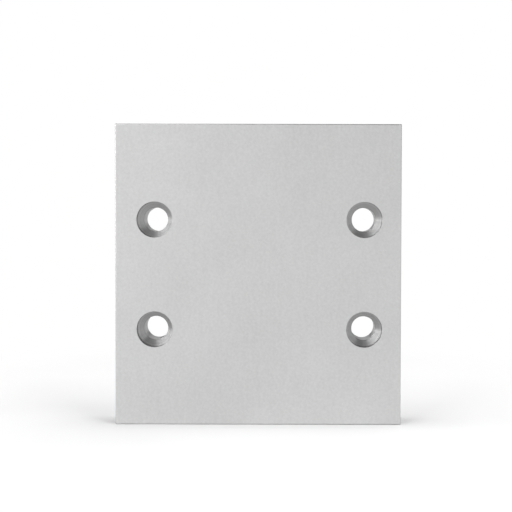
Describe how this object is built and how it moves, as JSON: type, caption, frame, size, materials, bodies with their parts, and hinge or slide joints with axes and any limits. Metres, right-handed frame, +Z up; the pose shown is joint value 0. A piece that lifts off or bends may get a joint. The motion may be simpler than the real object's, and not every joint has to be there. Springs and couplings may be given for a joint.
{
  "type": "rectangular cover plate",
  "caption": "Flat rectangular aluminium cover plate with a rectangle of stepped countersunk screw holes, to be screwed flush over an opening.",
  "frame": {"origin": "middle of the lower edge, half way through the thickness", "axes": "+Z up along the height, +X along the width to the right, seen from the front; the front face, with the head recesses, looks along -Y and the flat back face along +Y"},
  "size_m": [0.095, 0.01, 0.1],
  "materials": {
    "plate": "fine matt, natural anodised aluminium"
  },
  "bodies": {
    "root": {"cover_plate": "plate"}
  },
  "joints": []
}
